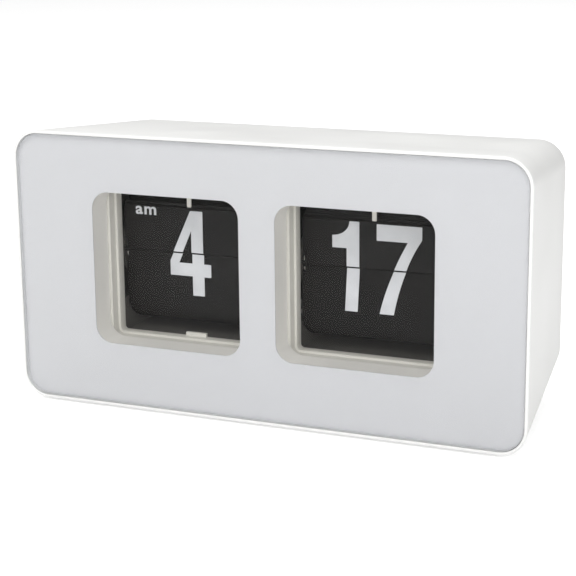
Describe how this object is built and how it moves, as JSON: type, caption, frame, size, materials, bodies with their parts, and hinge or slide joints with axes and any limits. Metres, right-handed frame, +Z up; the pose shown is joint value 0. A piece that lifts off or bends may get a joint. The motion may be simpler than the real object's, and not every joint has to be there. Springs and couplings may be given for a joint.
{
  "type": "flip number clock",
  "caption": "Desk flip clock: tapered white case, glossy front panel with two square windows, black split leaves with white hour and minute numerals.",
  "frame": {"origin": "middle of the outline in X and Y, on the surface that the feet stand on", "axes": "+Z up, the dial faces -Y, +X is the viewer's right"},
  "size_m": [0.1798, 0.07, 0.0942],
  "materials": {
    "case_plastic": "moulded, satin gloss",
    "panel_print": "printed cool white layer",
    "clear_acrylic": "clear, polished",
    "cream_plastic": "moulded, fine matt",
    "leaf_black": "printed black vinyl card, white numerals",
    "nylon": "moulded",
    "steel": "bright zinc",
    "black_plastic": "moulded",
    "board": "solder mask",
    "chip": "moulded epoxy",
    "cell_wrap": "plain printed sleeve, no text",
    "wire_red": "vinyl insulation",
    "wire_black": "vinyl insulation",
    "foot_rubber": "moulded"
  },
  "bodies": {
    "case": {"case_shell": "case_plastic", "front_mask": "panel_print", "front_lens": "clear_acrylic", "back_cover": "case_plastic", "cover_screw_1": "steel", "cover_screw_2": "steel", "cover_screw_3": "steel", "cover_screw_4": "steel", "movement_screw_1": "steel", "movement_screw_2": "steel", "movement_screw_3": "steel", "movement_screw_4": "steel", "front_foot_left": "foot_rubber", "front_foot_right": "foot_rubber", "rear_foot_left": "foot_rubber", "rear_foot_right": "foot_rubber", "display_frame": "cream_plastic", "hour_leaf_finger": "cream_plastic", "minute_leaf_finger": "cream_plastic", "leaf_shield": "black_plastic", "left_plate": "black_plastic", "centre_plate": "black_plastic", "right_plate": "black_plastic", "main_shaft": "steel", "tie_rod_upper": "steel", "tie_rod_nut_upper": "steel", "tie_rod_lower": "steel", "tie_rod_nut_lower": "steel", "motor_unit": "steel", "circuit_board": "board", "driver_chip": "chip", "quartz_crystal": "steel", "hour_fallen_leaf": "leaf_black", "hour_leaf_pack": "leaf_black", "minute_fallen_leaf": "leaf_black", "minute_leaf_pack": "leaf_black", "battery_cell": "cell_wrap", "battery_contact": "steel", "battery_spring": "steel", "battery_lead_red": "wire_red", "battery_lead_black": "wire_black"},
    "minute_drum": {"minute_hub": "nylon", "minute_disc_left": "black_plastic", "minute_disc_right": "black_plastic", "minute_drive_gear": "nylon", "minute_pinion": "nylon"},
    "hour_drum": {"hour_hub": "nylon", "hour_disc_left": "black_plastic", "hour_disc_right": "black_plastic", "hour_gear": "nylon"},
    "lay_shaft": {"lay_axle": "steel", "lay_wheel": "nylon", "lay_pinion": "nylon"},
    "motor_shaft": {"motor_pinion": "steel"},
    "setting_wheel": {"setting_gear": "nylon", "setting_axle": "steel", "setting_thumbwheel": "case_plastic"},
    "minute_leaf": {"minute_flip_leaf": "leaf_black"},
    "hour_leaf": {"hour_flip_leaf": "leaf_black"},
    "door": {"battery_door": "case_plastic"}
  },
  "joints": [
    {"name": "minute_drum_spin", "type": "hinge", "parent": "case", "child": "minute_drum", "pos_m": [0.03257, -0.0045, 0.0516], "axis": [1, 0, 0], "continuous": true},
    {"name": "hour_drum_spin", "type": "hinge", "parent": "case", "child": "hour_drum", "pos_m": [-0.03387, -0.0045, 0.0516], "axis": [1, 0, 0], "continuous": true},
    {"name": "lay_shaft_spin", "type": "hinge", "parent": "case", "child": "lay_shaft", "pos_m": [0, 0.0095, 0.0516], "axis": [1, 0, 0], "continuous": true},
    {"name": "motor_spin", "type": "hinge", "parent": "case", "child": "motor_shaft", "pos_m": [0.0609, -0.00895, 0.03791], "axis": [1, 0, 0], "continuous": true},
    {"name": "setting_wheel_spin", "type": "hinge", "parent": "case", "child": "setting_wheel", "pos_m": [0.0695, 0.0175, 0.0516], "axis": [1, 0, 0], "continuous": true},
    {"name": "minute_leaf_flip", "type": "hinge", "parent": "case", "child": "minute_leaf", "pos_m": [0.03257, -0.015, 0.0516], "axis": [1, 0, 0], "range_deg": [0, 170]},
    {"name": "hour_leaf_flip", "type": "hinge", "parent": "case", "child": "hour_leaf", "pos_m": [-0.03387, -0.015, 0.0516], "axis": [1, 0, 0], "range_deg": [0, 178]},
    {"name": "battery_door_hinge", "type": "hinge", "parent": "case", "child": "door", "pos_m": [0, 0.0346, 0.0181], "axis": [-1, 0, 0], "range_deg": [0, 100]}
  ],
  "couplings": [
    {"joint": "hour_drum_spin", "follows": "minute_drum_spin", "ratio": 0.041667},
    {"joint": "lay_shaft_spin", "follows": "minute_drum_spin", "ratio": -0.25},
    {"joint": "motor_spin", "follows": "minute_drum_spin", "ratio": -5},
    {"joint": "setting_wheel_spin", "follows": "minute_drum_spin", "ratio": -1.2}
  ]
}
